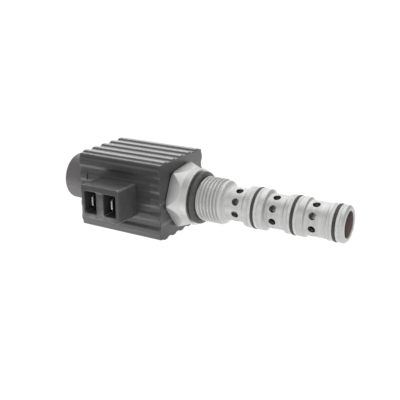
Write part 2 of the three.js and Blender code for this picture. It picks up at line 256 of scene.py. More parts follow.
def calc(t, op, a, b=0.0, clamp=False):
    n = t.nodes.new("ShaderNodeMath")
    n.operation, n.use_clamp = op, clamp
    for k, v in enumerate((a, b)):
        if isinstance(v, (int, float)):
            n.inputs[k].default_value = v
        else:
            t.links.new(v, n.inputs[k])
    return n.outputs[0]


def span(t, value, lo, hi, out_lo, out_hi):
    n = t.nodes.new("ShaderNodeMapRange")
    n.clamp = True
    for k, v in zip(("From Min", "From Max", "To Min", "To Max"), (lo, hi, out_lo, out_hi)):
        n.inputs[k].default_value = v
    t.links.new(value, n.inputs["Value"])
    return n.outputs["Result"]


def blend_colour(t, factor, a, b):
    n = t.nodes.new("ShaderNodeMix")
    n.data_type = "RGBA"
    t.links.new(factor, n.inputs["Factor"])
    for key, v in (("A", a), ("B", b)):
        socket = [s for s in n.inputs if s.name == key and s.type == "RGBA"][0]
        if isinstance(v, (tuple, list)):
            socket.default_value = (*v, 1)
        else:
            t.links.new(v, socket)
    return [s for s in n.outputs if s.type == "RGBA"][0]


def bump(t, shader, height, distance, strength=1.0):
    n = t.nodes.new("ShaderNodeBump")
    n.inputs["Strength"].default_value = strength
    n.inputs["Distance"].default_value = distance
    t.links.new(height, n.inputs["Height"])
    t.links.new(n.outputs[0], shader.inputs["Normal"])


def edge_mask(t, lo, hi):
    g = t.nodes.new("ShaderNodeNewGeometry")
    return span(t, g.outputs["Pointiness"], lo, hi, 0.0, 1.0)


def turned_metal(name, dark, light, rough=(0.28, 0.42), ring_scale=2600, ring_weight=0.6, depth=6e-6, worn=None, bore_shade=None):
    """Plated or bare steel off a lathe: rings round the axis, a fine grain and faint clouding."""
    m, t, s, place = start(name)
    cloud = noise(t, place, 90, 4, 0.6)
    grain = noise(t, place, 3800, 5, 0.6)
    line = rings(t, place, ring_scale, 5)
    wide = rings(t, place, 420, 2)
    mix = calc(t, "ADD", calc(t, "MULTIPLY", cloud, 0.55), calc(t, "MULTIPLY", wide, 0.45))
    colour = blend_colour(t, span(t, mix, 0.35, 0.65, 0, 1), dark, light)
    if worn:
        colour = blend_colour(t, edge_mask(t, 0.52, 0.62), colour, worn)
    if bore_shade:
        # painted shade in the bore: darker and reddish grey inside a radius
        radius, inside = bore_shade
        split = t.nodes.new("ShaderNodeSeparateXYZ")
        t.links.new(place, split.inputs[0])
        r = calc(t, "SQRT", calc(t, "ADD", calc(t, "POWER", split.outputs["Y"], 2.0), calc(t, "POWER", split.outputs["Z"], 2.0)))
        colour = blend_colour(t, span(t, r, radius - 0.00005, radius + 0.00015, 1, 0), colour, inside)
        # painted shade, darker still, on the walls of the drilled ports
        for row in ROWS:
            near = span(t, calc(t, "ABSOLUTE", calc(t, "SUBTRACT", split.outputs["X"], row * MM)), 0.0022, 0.0024, 1, 0)
            colour = blend_colour(t, calc(t, "MULTIPLY", near, span(t, r, 0.00800, 0.00812, 1, 0)), colour, (0.27, 0.265, 0.26))
    t.links.new(colour, s.inputs["Base Color"])
    s.inputs["Metallic"].default_value = 1.0
    fine = calc(t, "ADD", calc(t, "MULTIPLY", line, ring_weight), calc(t, "MULTIPLY", grain, 1 - ring_weight))
    t.links.new(span(t, calc(t, "ADD", calc(t, "MULTIPLY", fine, 0.6), calc(t, "MULTIPLY", cloud, 0.4)), 0.3, 0.7, *rough), s.inputs["Roughness"])
    bump(t, s, fine, depth)
    return m


def moulded(name, dark, light, edge, rough=(0.36, 0.5), grain_depth=9e-6, edge_range=(0.52, 0.6), specular=0.5):
    """Glass-filled moulding: fine spark-eroded grain, faint flow marks and a painted highlight along its edges."""
    m, t, s, place = start(name)
    flow = noise(t, place, 70, 4, 0.6, (0.35, 1, 1))
    grain = noise(t, place, 5200, 4, 0.6)
    speck = noise(t, place, 1500, 2, 0.5)
    colour = blend_colour(t, span(t, calc(t, "ADD", calc(t, "MULTIPLY", flow, 0.7), calc(t, "MULTIPLY", speck, 0.3)), 0.36, 0.64, 0, 1), dark, light)
    # painted highlight: a lighter colour on sharp edges, where sheen would catch the light
    edge_sheen = calc(t, "MULTIPLY", edge_mask(t, *edge_range), span(t, noise(t, place, 260, 3), 0.3, 0.6, 0.35, 1.0))
    colour = blend_colour(t, edge_sheen, colour, edge)
    t.links.new(colour, s.inputs["Base Color"])
    s.inputs["Specular IOR Level"].default_value = specular
    t.links.new(span(t, calc(t, "ADD", calc(t, "MULTIPLY", flow, 0.5), calc(t, "MULTIPLY", grain, 0.5)), 0.3, 0.7, *rough), s.inputs["Roughness"])
    bump(t, s, calc(t, "ADD", calc(t, "MULTIPLY", grain, 0.75), calc(t, "MULTIPLY", speck, 0.25)), grain_depth)
    return m


def elastomer(name, dark, light, rough=(0.42, 0.6)):
    """Nitrile: faint bloom and the slight unevenness of a moulded ring."""
    m, t, s, place = start(name)
    bloom = noise(t, place, 300, 4, 0.6)
    grain = noise(t, place, 4500, 3, 0.6)
    t.links.new(blend_colour(t, span(t, bloom, 0.35, 0.65, 0, 1), dark, light), s.inputs["Base Color"])
    t.links.new(span(t, bloom, 0.3, 0.7, *rough), s.inputs["Roughness"])
    bump(t, s, calc(t, "ADD", calc(t, "MULTIPLY", grain, 0.5), calc(t, "MULTIPLY", bloom, 0.5)), 8e-6)
    return m


def fluoropolymer(name):
    """Back-up rings: slightly waxy white, with the marks of turning."""
    m, t, s, place = start(name)
    cloud = noise(t, place, 400, 4, 0.6)
    line = rings(t, place, 5000, 3)
    t.links.new(blend_colour(t, span(t, cloud, 0.35, 0.65, 0, 1), (0.53, 0.53, 0.52), (0.63, 0.63, 0.615)), s.inputs["Base Color"])
    t.links.new(span(t, line, 0.3, 0.7, 0.34, 0.5), s.inputs["Roughness"])
    s.inputs["Subsurface Weight"].default_value = 0.15
    s.inputs["Subsurface Radius"].default_value = (0.0008, 0.0008, 0.0007)
    bump(t, s, line, 5e-6)
    return m


def enamelled_copper(name):
    m, t, s, place = start(name)
    line = rings(t, place, 1700, 2)
    cloud = noise(t, place, 500, 4, 0.6)
    t.links.new(blend_colour(t, span(t, cloud, 0.3, 0.7, 0, 1), (0.42, 0.13, 0.05), (0.68, 0.27, 0.12)), s.inputs["Base Color"])
    s.inputs["Metallic"].default_value = 0.85
    s.inputs["Coat Weight"].default_value = 0.6
    s.inputs["Coat Roughness"].default_value = 0.15
    t.links.new(span(t, line, 0.3, 0.7, 0.22, 0.4), s.inputs["Roughness"])
    bump(t, s, cloud, 5e-6)
    return m


def nylon(name):
    m, t, s, place = start(name)
    cloud = noise(t, place, 120, 4, 0.6)
    grain = noise(t, place, 4000, 3, 0.6)
    t.links.new(blend_colour(t, span(t, cloud, 0.3, 0.7, 0, 1), (0.6, 0.55, 0.43), (0.7, 0.66, 0.55)), s.inputs["Base Color"])
    t.links.new(span(t, grain, 0.3, 0.7, 0.38, 0.55), s.inputs["Roughness"])
    s.inputs["Subsurface Weight"].default_value = 0.2
    s.inputs["Subsurface Radius"].default_value = (0.0012, 0.001, 0.0007)
    bump(t, s, grain, 5e-6)
    return m


ZINC = turned_metal("zinc_plate", (0.535, 0.537, 0.53), (0.615, 0.617, 0.61), (0.48, 0.62), 1900, 0.35, 9e-6, worn=(0.68, 0.68, 0.67))
# the cage carries painted shade in its bore and on the walls of its ports
CAGE = turned_metal("cage_plate", (0.475, 0.475, 0.473), (0.595, 0.595, 0.590), (0.40, 0.54), 2600, 0.6, 9e-6, worn=(0.70, 0.70, 0.69), bore_shade=(0.0063, (0.42, 0.355, 0.34)))
STEEL = turned_metal("turned_steel", (0.48, 0.48, 0.475), (0.58, 0.58, 0.57), (0.24, 0.38), 3000, 0.7, 6e-6)
# ground steel is bright, and this colour is set lighter still as painted light, so the spool reads bright deep in the
# shaded ports
GROUND = turned_metal("ground_steel", (0.78, 0.78, 0.775), (0.88, 0.88, 0.87), (0.40, 0.52), 6000, 0.8, 1.5e-6)
SPRING = turned_metal("spring_wire", (0.36, 0.365, 0.38), (0.48, 0.485, 0.50), (0.22, 0.36), 4000, 0.3, 3e-6)
TIN = turned_metal("tin_plate", (0.74, 0.74, 0.75), (0.84, 0.84, 0.85), (0.16, 0.28), 5000, 0.5, 2e-6)
BRASS = turned_metal("rolled_brass", (0.56, 0.40, 0.15), (0.70, 0.54, 0.24), (0.2, 0.34), 4200, 0.4, 2e-6)
# the third colour of each moulding is its painted edge highlight
MOULD = moulded("coil_moulding", (0.034, 0.032, 0.033), (0.048, 0.0455, 0.047), (0.15, 0.147, 0.15), (0.36, 0.48))
CAP = moulded("nut_moulding", (0.086, 0.079, 0.080), (0.110, 0.102, 0.103), (0.23, 0.22, 0.22), (0.42, 0.56))
RUBBER = elastomer("nitrile", (0.056, 0.055, 0.054), (0.084, 0.083, 0.081), (0.46, 0.64))
RUBBER_DARK = elastomer("nitrile_land", (0.034, 0.034, 0.036), (0.052, 0.052, 0.054), (0.46, 0.62))
BACKUP = fluoropolymer("backup_ring")
COPPER = enamelled_copper("enamelled_copper")
NYLON = nylon("bobbin_nylon")


# ------------------------------------------------------------------ adapter: hex, seal groove, true helical thread
def adapter():
    back, seat, end = -10.4, 0.0, 18.0
    apothem, edge_r = 14.3, 0.45
    corner = apothem / math.cos(math.radians(30))
    centre = corner - edge_r / math.cos(math.radians(30))
    turn = math.atan(0.5 * edge_r / (corner - 0.289 * edge_r))

    def hex_radius(theta):
        phi = abs((theta - math.radians(187) + math.radians(30)) % math.radians(60) - math.radians(30))
        if phi >= turn:
            return apothem / math.cos(math.radians(30) - phi)
        return centre * math.cos(phi) + math.sqrt(max(0.0, edge_r**2 - (centre * math.sin(phi)) ** 2))

    thetas = []
    for k in range(6):
        v = math.radians(187 + 60 * k)
        thetas += [v + turn * q / 3 for q in range(-3, 4)]
        left, right = turn, math.radians(60) - turn
        thetas += [v + left + (right - left) * q / 17 for q in range(1, 17)]
    base = thetas[0]
    thetas = [(q - base) for q in thetas]           # 0 up to one turn, from the first corner
    n_theta = len(thetas)

    def before_thread(theta):
        r = hex_radius(theta + base)
        x_back = max(back + 0.12, back + (r - 15.2) * 0.8 / 1.35)
        x_front = -9.3 + (16.55 - r) / (2.35 / 5.8)
        pts = [
            (back, 8.75, 0.15), (back, min(15.2, r - 0.12), 0.1), (x_back, r, 0.1), (x_front, r, 0.7),
            (-3.5, 14.19, 0.7), (-0.3, 14.15, 0.3), (seat, 13.9, 0), (seat, 9.9, 0.1), (0.1, 9.8, 0), (2.7, 9.8, 0.2),
        ]
        return fillet([(back + 0.5, 8.25)] + pts + [(2.95, 10.0)], closed=False, steps=3)

    # the thread: rows follow the helix, and are held at its two ends
    pitch, xs, xe, root, major = 25.4 / 14, 2.95, 15.0, 10.0, 11.11
    section = [(-0.5, 0.0), (-0.40, 0.02), (-0.33, 0.12), (-0.13, 0.86), (-0.09, 0.97), (-0.06, 1.0), (0.0, 1.0), (0.06, 1.0), (0.09, 0.97), (0.13, 0.86), (0.33, 0.12), (0.40, 0.02)]
    m = len(section)
    turns = math.ceil((xe - xs) / pitch) + 2

    def thread_point(row, theta):
        k, j = divmod(row, m)
        ph, h = section[j]
        x = xs + 0.12 + pitch * (k - 1 + ph + theta / TAU)
        r = root + (major - root) * h
        limit = min(root + max(0.0, x - xs) * 1.1, root + max(0.0, xe - x) * 2.0)
        r = max(root, min(r, limit))
        x = min(max(x, xs), xe)
        return x, (root if x in (xs, xe) else r)

    n_thread = turns * m
    after = fillet([
        (xe, 10.0), (15.05, 10.2, 0.1), (15.3, 10.68, 0.25), (16.1, 10.5, 0.9), (17.1, 9.0, 0.9), (end - 0.05, 8.27, 0.05), (end, 8.24, 0.02),
        (end - 0.1, 8.22, 0.02), (16.6, 8.22, 0.1), (16.4, 8.5, 0.05), (4.0, 8.5, 0.1), (4.0, 4.2, 0.1), (-5.0, 4.2, 0.1), (-5.0, 8.25, 0.1), (-6.9, 8.25, 0.1), (-6.9, 9.5, 0.1),
        (-9.2, 9.5, 0.1), (-9.2, 8.25, 0.1), (back + 0.5, 8.25),
    ], closed=False, steps=3)
    first = before_thread(0.0)
    n_before, n_after = len(first), len(after)
    verts, columns = [], []
    for theta in thetas + [TAU]:
        column = []
        c, s = math.cos(theta + base), math.sin(theta + base)
        pts = before_thread(theta) + [thread_point(row, theta) for row in range(n_thread)] + after
        for x, r in pts:
            column.append(len(verts))
            verts.append((x, r * c, r * s))
        columns.append(column)
    faces = []
    total = n_before + n_thread + n_after
    for i in range(n_theta):
        a, b = columns[i], columns[i + 1]
        for k in range(total - 1):
            faces.append([a[k], a[k + 1], b[k + 1], b[k]])
    # the last column lies on the first one, and merging closes the ring
    obj = mesh_object("adapter_body", verts, faces)
    return finish_piece(obj, "valve_body", ZINC, "hex_adapter", sharp=38)


adapter()

# ------------------------------------------------------------------ cage with its drilled ports
SHANK, BORE = 8.2, 6.17
LANDS = [(28.0, 38.0, 9.85, 32.75, 8.15), (48.2, 57.5, 9.25, 52.2, 7.6), (68.2, 76.3, 8.65, 71.8, 7.15)]
HOLE, HALF = 1.75, 3.0
CLIP_X = 66.8


def cage():
    n_side = 14
    cell = math.radians(22.5)
    sweep = [-math.pi / 4 + math.pi / 2 * i / n_side for i in range(n_side + 1)]
    centres = [math.radians(109 + 45 * k) for k in range(8)]
    thetas = [c + cell * math.tan(a) for c in centres for a in sweep[:-1]]

    outer = [(4.3, 7.9, 0.1), (4.55, 8.2, 0.1)]
    spans_out, current = [], list(outer)
    feature = []
    for x0, x1, r, seal, bottom in LANDS:
        feature.append([
            (x0 - (r - SHANK) * 0.6, SHANK, 0.6), (x0, r, 0.25), (seal - 2.25, r, 0.12), (seal - 2.25, bottom, 0.2), (seal + 2.25, bottom, 0.2), (seal + 2.25, r, 0.12),
        ] + ([(x1, r, 0.25), (x1 + (r - SHANK) * 0.5, SHANK, 0.6)] if x1 < 76 else [
            (x1 - 0.85, r, 0.3), (x1, r - 0.85, 0.3), (x1, BORE + 0.42, 0.1), (x1 - 0.42, BORE, 0.1),
            (CLIP_X + 0.8, BORE, 0.06), (CLIP_X + 0.8, 7.0, 0.12), (CLIP_X - 0.8, 7.0, 0.12), (CLIP_X - 0.8, BORE, 0.06),
        ]))
    parts = []
    edge = ROWS[0] - HALF
    line = fillet([(4.3, BORE + 0.4)] + outer + [(edge, SHANK)], closed=False, steps=4)
    parts.append(revolve(line, closed=False, thetas=thetas))
    for i, f in enumerate(feature):
        head = [(ROWS[i] + HALF, SHANK)]
        tail = [(ROWS[i + 1] - HALF, SHANK)] if i < 2 else [(ROWS[2] + HALF, BORE)]
        parts.append(revolve(fillet(head + f + tail, closed=False, steps=4), closed=False, thetas=thetas))
    inner = [(ROWS[0] - HALF, BORE), (12.0, BORE), (4.7, BORE), (4.3, BORE + 0.4)]
    parts.append(revolve(inner, closed=False, thetas=thetas))
    for a, b in ((ROWS[0], ROWS[1]), (ROWS[1], ROWS[2])):
        parts.append(revolve([(a + HALF, BORE), ((a + b) / 2, BORE), (b - HALF, BORE)], closed=False, thetas=thetas))

    # one patch of surface round each port, inside and outside, joined by the port's wall
    count = n_side * 4
    spread = [0.0, 0.05, 0.13, 0.25, 0.42, 0.68, 1.0]
    for row in ROWS:
        for c in centres:
            verts, faces, loops = [], [], []
            border = []
            for i in range(count):
                side, k = divmod(i, n_side)
                q = math.tan(sweep[k])
                u, v = [(1, q), (-q, 1), (-1, -q), (q, -1)][side]
                border.append((u * HALF, v * cell, math.atan2(v, u)))

            def ring_points(radius, hole):
                pts = []
                for _, _, a in border:
                    pts.append((row + hole * math.cos(a), c + math.asin(hole * math.sin(a) / radius), radius))
                return pts

            def to_border(radius, hole, share):
                pts = []
                for (x, t, _), (u, v, _) in zip(ring_points(radius, hole), border):
                    pts.append((x + (row + u - x) * share, t + (c + v - t) * share, radius))
                return pts

            lip = 0.16
            stack = [to_border(SHANK, HOLE + lip, s) for s in reversed(spread)]
            for q in (0.35, 0.7, 1.0):
                a = q * math.pi / 2
                stack.append(ring_points(SHANK - lip * (1 - math.cos(a)), HOLE + lip * (1 - math.sin(a))))
            stack.append(ring_points((SHANK + BORE) / 2, HOLE))
            stack.append(ring_points(BORE + 0.08, HOLE))
            stack += [to_border(BORE, HOLE + 0.08, s) for s in spread]
            for pts in stack:
                loop = []
                for x, t, r in pts:
                    loop.append(len(verts))
                    verts.append((x, r * math.cos(t), r * math.sin(t)))
                loops.append(loop)
            for a, b in zip(loops, loops[1:]):
                for i in range(count):
                    k = (i + 1) % count
                    faces.append([a[i], a[k], b[k], b[i]])
            parts.append((verts, faces))
    obj = mesh_object("cage_sleeve", *join(*parts))
    return finish_piece(obj, "valve_body", CAGE, "cage", sharp=40)


cage()


def o_ring(name, x, r, section, body, node, seg=144, sides=24, squeeze=1.0, flat=0.0, material=None):
    """An O-ring. squeeze below 1 flattens the section along X, and flat presses its outside."""
    pts = []
    for k in range(sides):
        a = TAU * k / sides
        px, pr = section * squeeze * math.cos(a), section * math.sin(a)
        pts.append((x + px, r + pr - (flat * max(0.0, math.sin(a)) ** 6)))
    obj = mesh_object(name, *revolve(pts, seg))
    return finish_piece(obj, body, material or RUBBER, node, sharp=60)


for i, (x0, x1, r, seal, bottom) in enumerate(LANDS, 1):
    o_ring(f"land_seal_{i}", seal, r + 0.25 - 0.78, 0.78, "valve_body", f"cage_seal_{i}", flat=0.06, material=RUBBER_DARK)
    near, thick = 0.8, 1.41
    for tag, lo in (("a", seal - near - thick), ("b", seal + near)):
        ring_profile = fillet([
            (lo, bottom + 0.3, 0.06), (lo, r, 0.1), (lo + thick, r, 0.1), (lo + thick, bottom + 0.3, 0.06),
        ], steps=3)
        obj = mesh_object(f"land_backup_{i}{tag}", *revolve(ring_profile, 144))
        # scarf cut, as on a real split ring
        a = math.radians(250 + 35 * i + (60 if tag == "b" else 0))
        c, s = math.cos(a), math.sin(a)
        v, f = box_mesh((lo - 0.3, lo + thick + 0.3), (bottom - 1, r + 1), (-0.05, 0.05))
        v = [(x, y * c - (z + (x - lo - thick / 2) * 0.8) * s, y * s + (z + (x - lo - thick / 2) * 0.8) * c) for x, y, z in v]
        carve(obj, (v, f))
        finish_piece(obj, "valve_body", BACKUP, f"backup_ring_{i}{tag}", sharp=40)

o_ring("hex_seal", 1.775, 11.6, 1.475, "valve_body", "manifold_seal", 168, 36)
o_ring("tube_o_ring", -8.05, 8.85, 0.42, "valve_body", "tube_seal", 96, 14)
o_ring("coil_o_ring", -11.0, 10.2, 0.5, "coil", "coil_front_seal", 96, 14)
o_ring("nut_o_ring", -60.5, 9.6, 0.85, "nut_carrier", "nut_seal", 96, 20)

# retaining ring in the nose, with its gap at the bottom
clip_profile = fillet([(CLIP_X - 0.45, 4.7, 0.1), (CLIP_X - 0.45, 6.65, 0.1), (CLIP_X + 0.45, 6.65, 0.1), (CLIP_X + 0.45, 4.7, 0.1)], steps=3)
clip = mesh_object("nose_clip", *revolve(clip_profile, 120))
carve(clip, box_mesh((CLIP_X - 1, CLIP_X + 1), (-1.2, 1.2), (-8, 0)))
finish_piece(clip, "valve_body", SPRING, "nose_retaining_ring", sharp=40)


# ------------------------------------------------------------------ spool, link, armature
def drill(x, radius, depth0, depth1, angle_deg, seg=40):
    """A closed cylinder across the axis, at an angle from +Y towards +Z."""
    a = math.radians(angle_deg)
    u, w = (math.cos(a), math.sin(a)), (-math.sin(a), math.cos(a))
    verts, faces = [], []
    for d in (depth0, depth1):
        for k in range(seg):
            q = TAU * k / seg
            px, pt = radius * math.cos(q), radius * math.sin(q)
            verts.append((x + px, u[0] * d + w[0] * pt, u[1] * d + w[1] * pt))
    faces.append(list(range(seg)))
    faces.append(list(range(2 * seg - 1, seg - 1, -1)))
    for k in range(seg):
        j = (k + 1) % seg
        faces.append([k, j, seg + j, seg + k])
    return verts, faces


R, W = 5.82, 3.9
spool_profile = [(14.0, 0), (14.0, R - 0.4, 0.1), (14.4, R, 0.1), (19.5, R, 0.06), (19.5, W, 0.3), (27.5, W, 0.3), (27.5, R, 0.06)]
for groove in (29.6, 31.8, 34.0):                 # balancing grooves
    spool_profile += [(groove - 0.2, R, 0.03), (groove - 0.2, R - 0.3, 0.05), (groove + 0.2, R - 0.3, 0.05), (groove + 0.2, R, 0.03)]
spool_profile += [(36.0, R, 0.06), (36.0, W, 0.3), (43.0, W, 0.3), (43.0, R, 0.06)]
for groove in (46.4, 48.8, 51.2):
    spool_profile += [(groove - 0.2, R, 0.03), (groove - 0.2, R - 0.3, 0.05), (groove + 0.2, R - 0.3, 0.05), (groove + 0.2, R, 0.03)]
spool_profile += [(54.5, R, 0.06), (54.5, W, 0.3), (62.2, W, 0.3), (62.2, R, 0.06), (65.5, R, 0.1), (65.9, R - 0.4, 0.1),
                  (65.9, 2.6, 0.1), (65.6, 2.3, 0.05), (24.0, 2.3, 0.05), (23.2, 0)]
spool = mesh_object("spool_body", *revolve(fillet(spool_profile, closed=False, steps=3), 96, closed=False))
carve(spool, box_mesh((13.0, 16.2), (-2.0, 2.0), (-8, 2.2)), box_mesh((16.0, 18.6), (-3.6, 3.6), (-8, 3.6)), drill(25.8, 1.3, -8, 8, 0))
finish_piece(spool, "spool_armature", GROUND, "spool", sharp=38)

link = mesh_object("link_rod", *revolve(fillet([
    (-22.0, 0), (-22.0, 2.9, 0.25), (-20.2, 2.9, 0.15), (-20.2, 1.6, 0.2), (16.4, 1.6, 0.2), (16.4, 3.0, 0.15), (18.2, 3.0, 0.25), (18.2, 0),
], closed=False, steps=4), 64, closed=False))
finish_piece(link, "spool_armature", STEEL, "armature_link", sharp=38)

arm = mesh_object("armature_body", *revolve(fillet([
    (-37.3, 0), (-37.3, 3.5, 0.1), (-42.6, 3.5, 0.1), (-42.9, 3.8, 0.1), (-42.9, 6.4, 0.15), (-42.4, 6.9, 0.15), (-17.3, 6.9, 0.15), (-16.8, 6.4, 0.15), (-16.8, 0),
], closed=False, steps=3), 96, closed=False))
carve(arm, box_mesh((-20.0, -15.8), (-2.0, 2.0), (-8, 2.2)), box_mesh((-22.6, -19.8), (-3.5, 3.5), (-8, 3.5)), box_mesh((-44, -15.8), (-0.9, 0.9), (5.6, 8)))
finish_piece(arm, "spool_armature", STEEL, "armature", sharp=38)

shim = mesh_object("shim_washer", *revolve(fillet([(-43.5, 3.8, 0.05), (-43.5, 6.6, 0.05), (-43.2, 6.6, 0.05), (-43.2, 3.8, 0.05)], steps=2), 96))
finish_piece(shim, "spool_armature", BRASS, "residual_shim", sharp=40)

# ------------------------------------------------------------------ core tube, pole plug, spring
tube = mesh_object("pressure_tube", *revolve(fillet([(-63.3, 7.25, 0.1), (-63.3, 7.95, 0.25), (-5.3, 7.95, 0.25), (-5.3, 7.25, 0.1)], steps=3), 120))
finish_piece(tube, "valve_body", STEEL, "core_tube", sharp=38)


def pole():
    """Pole plug, with a true thread on its stud: rows follow the helix, as on the adapter."""
    pitch, xs, xe, root, major = 1.5, -70.3, -64.7, 4.35, 5.0
    section = [(-0.5, 0.0), (-0.36, 0.06), (-0.1, 0.95), (0.0, 1.0), (0.1, 0.95), (0.36, 0.06)]
    m, turns = 6, math.ceil((xe - xs) / pitch) + 2
    before = fillet([(-70.5, 0), (-70.5, 4.1, 0.1), (xs, root)], closed=False, steps=3)
    after = fillet([
        (xe, root), (-63.6, root, 0.1), (-63.6, 6.95, 0.15), (-47.4, 6.95, 0.15), (-47.0, 6.55, 0.15), (-47.0, 3.8, 0.1), (-47.3, 3.5, 0.1), (-53.1, 3.5, 0.2), (-53.1, 0),
    ], closed=False, steps=3)
    verts, columns, seg = [], [], 72
    for i in range(seg + 1):
        theta = TAU * i / seg
        pts = list(before)
        for row in range(turns * m):
            k, j = divmod(row, m)
            ph, h = section[j]
            x = xs + pitch * (k - 1 + ph + theta / TAU)
            limit = min(root + max(0.0, x - xs) * 1.2, root + max(0.0, xe - x) * 1.2)
            r = max(root, min(root + (major - root) * h, limit))
            x = min(max(x, xs), xe)
            pts.append((x, root if x in (xs, xe) else r))
        pts += after
        columns.append([])
        for x, r in pts:
            columns[-1].append(len(verts))
            verts.append((x, r * math.cos(theta), r * math.sin(theta)))
    faces = []
    for i in range(seg):
        a, b = columns[i], columns[i + 1]
        for k in range(len(a) - 1):
            faces.append([a[k], a[k + 1], b[k + 1], b[k]])
    obj = mesh_object("pole_body", verts, faces)
    return finish_piece(obj, "valve_body", STEEL, "pole_plug", sharp=38)


pole()


def sweep_tube(points, radius, sides=14):
    """A closed tube along a line of points, with frames carried along without twist."""
    pts = [np.array(p, float) for p in points]
    n = len(pts)
    tangents = [(pts[min(i + 1, n - 1)] - pts[max(i - 1, 0)]) for i in range(n)]
    tangents = [q / np.linalg.norm(q) for q in tangents]
    normal = np.cross(tangents[0], (1, 0, 0))
    normal /= np.linalg.norm(normal)
    verts, faces = [], []
    for i in range(n):
        normal = normal - tangents[i] * (normal @ tangents[i])
        normal /= np.linalg.norm(normal)
        side = np.cross(tangents[i], normal)
        for k in range(sides):
            a = TAU * k / sides
            verts.append(tuple(pts[i] + radius * (math.cos(a) * normal + math.sin(a) * side)))
    for i in range(n - 1):
        for k in range(sides):
            j = (k + 1) % sides
            faces.append([i * sides + k, i * sides + j, (i + 1) * sides + j, (i + 1) * sides + k])
    faces.append(list(range(sides))[::-1])
    faces.append([(n - 1) * sides + k for k in range(sides)])
    return verts, faces


def spring_points():
    back, front, mean, wire, turns = -52.8, -37.6, 2.7, 0.4, 7
    span_x, closed, out = front - back - 2 * wire, 2 * wire + 0.12, []
    steps = turns * 36
    for i in range(steps + 1):
        turn = i / steps * turns
        if turn <= 1:
            x = turn * closed
        elif turn >= turns - 1:
            x = span_x - (turns - turn) * closed
        else:
            x = closed + (turn - 1) / (turns - 2) * (span_x - 2 * closed)
        a = turn * TAU
        out.append((back + wire + x, mean * math.cos(a), mean * math.sin(a)))
    return out


spring = mesh_object("return_coil", *sweep_tube(spring_points(), 0.39))
finish_piece(spring, "valve_body", SPRING, "return_spring", sharp=50)
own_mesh(spring)

# ------------------------------------------------------------------ coil
HY, HZ, PITCH, CREST, ROOT, RISE = 19.4, 18.95, 7.35, 1.25, 2.45, 0.8
C_BACK, C_FRONT = -59.2, -10.7


def coil_outline(lowered=0.0, inset=0.0):
    """The block's section with five ribs a side, rounded, and set in by inset. lowered takes the middle three -Y ribs down."""
    corner = 1.3
    pts = []

    def side(half, level, put, drop=False):
        put(-half, level, corner)
        for k in range(5):
            c = (k - 2) * PITCH
            h = RISE - (lowered if drop and abs(c) < 8 else 0)
            put(c - ROOT, level, 1.6)
            put(c - CREST, level + h, 1.5)
            put(c + CREST, level + h, 1.5)
            put(c + ROOT, level, 1.6)

    side(HY, HZ, lambda t, o, f: pts.append((t, -o, f)))
    side(HZ, HY, lambda t, o, f: pts.append((o, t, f)))
    side(HY, HZ, lambda t, o, f: pts.append((-t, o, f)))
    side(HZ, HY, lambda t, o, f: pts.append((-o, -t, f)), drop=True)
    line = fillet(pts, steps=4)
    if inset <= 0:
        return line
    out, n = [], len(line)
    for i in range(n):
        a, b = np.array(line[i - 1]), np.array(line[(i + 1) % n])
        d = b - a
        length = np.linalg.norm(d)
        normal = np.array((d[1], -d[0])) / (length if length else 1)
        p = np.array(line[i]) - normal * inset
        out.append((p[0], p[1]))
    return out


def coil_body():
    edge = 0.45
    stations = []
    for k in range(5):
        a = math.pi / 2 * k / 4
        stations.append((C_BACK + edge * (1 - math.sin(a)), edge * (1 - math.cos(a)), 0.0))
    stations.reverse()
    stations = [(x, i, l) for x, i, l in stations]
    stations = sorted(stations, key=lambda q: q[0])
    stations += [(-54.72, 0, 0.0), (-54.6, 0, 0.0), (-54.48, 0, 0.5), (-54.36, 0, 0.5), (-50, 0, 0.5), (-35, 0, 0.5), (-20, 0, 0.5),
                 (-16.54, 0, 0.5), (-16.42, 0, 0.5), (-16.3, 0, 0.0), (-16.18, 0, 0.0)]
    tail = []
    for k in range(5):
        a = math.pi / 2 * k / 4
        tail.append((C_FRONT - edge * (1 - math.sin(a)), edge * (1 - math.cos(a)), 0.0))
    stations += sorted(tail, key=lambda q: q[0])
    verts, rows, faces = [], [], []
    for x, inset, low in stations:
        line = coil_outline(low, inset)
        rows.append(list(range(len(verts), len(verts) + len(line))))
        verts.extend([(x, y, z) for y, z in line])
    n = len(rows[0])
    for a, b in zip(rows, rows[1:]):
        for i in range(n):
            k = (i + 1) % n
            faces.append([a[i], a[k], b[k], b[i]])

    # end faces, each joined to a ring round the bore
    def end_face(row, x, radius):
        m = 96
        start_i = len(verts)
        circle = []
        for k in range(m):
            a = TAU * k / m
            circle.append(len(verts))
            verts.append((x, radius * math.cos(a), radius * math.sin(a)))
        outer = [Vector((verts[i][1], verts[i][2], 0)) for i in row]
        inner = [Vector((verts[i][1], verts[i][2], 0)) for i in reversed(circle)]
        ids = list(row) + list(reversed(circle))
        for t in tessellate_polygon([outer, inner]):
            faces.append([ids[q] for q in t])
        return circle

    def tube(circle, profile):
        m = len(circle)
        prev = circle
        for x, r in profile:
            cur = []
            for k in range(m):
                a = TAU * k / m
                cur.append(len(verts))
                verts.append((x, r * math.cos(a), r * math.sin(a)))
            for k in range(m):
                j = (k + 1) % m
                faces.append([prev[k], prev[j], cur[j], cur[k]])
            prev = cur
        return prev

    front = end_face(rows[-1], C_FRONT, 11.55)
    back = end_face(rows[0], C_BACK, 9.2)
    inside = fillet([
        (C_FRONT, 11.55), (C_FRONT - 0.15, 11.4, 0.05), (C_FRONT - 1.1, 11.4, 0.15), (C_FRONT - 1.1, 9.0, 0.15), (-12.4, 9.0, 0.1), (-12.4, 16.9, 0.4),
        (-56.6, 16.9, 0.4), (-56.6, 9.0, 0.1), (C_BACK + 0.2, 9.0, 0.05), (C_BACK, 9.2),
    ], closed=False, steps=3)
    last = tube(front, inside[1:-1])
    for k in range(len(last)):
        j = (k + 1) % len(last)
        faces.append([last[k], last[j], back[j], back[k]])
    return mesh_object("coil_block", verts, faces)


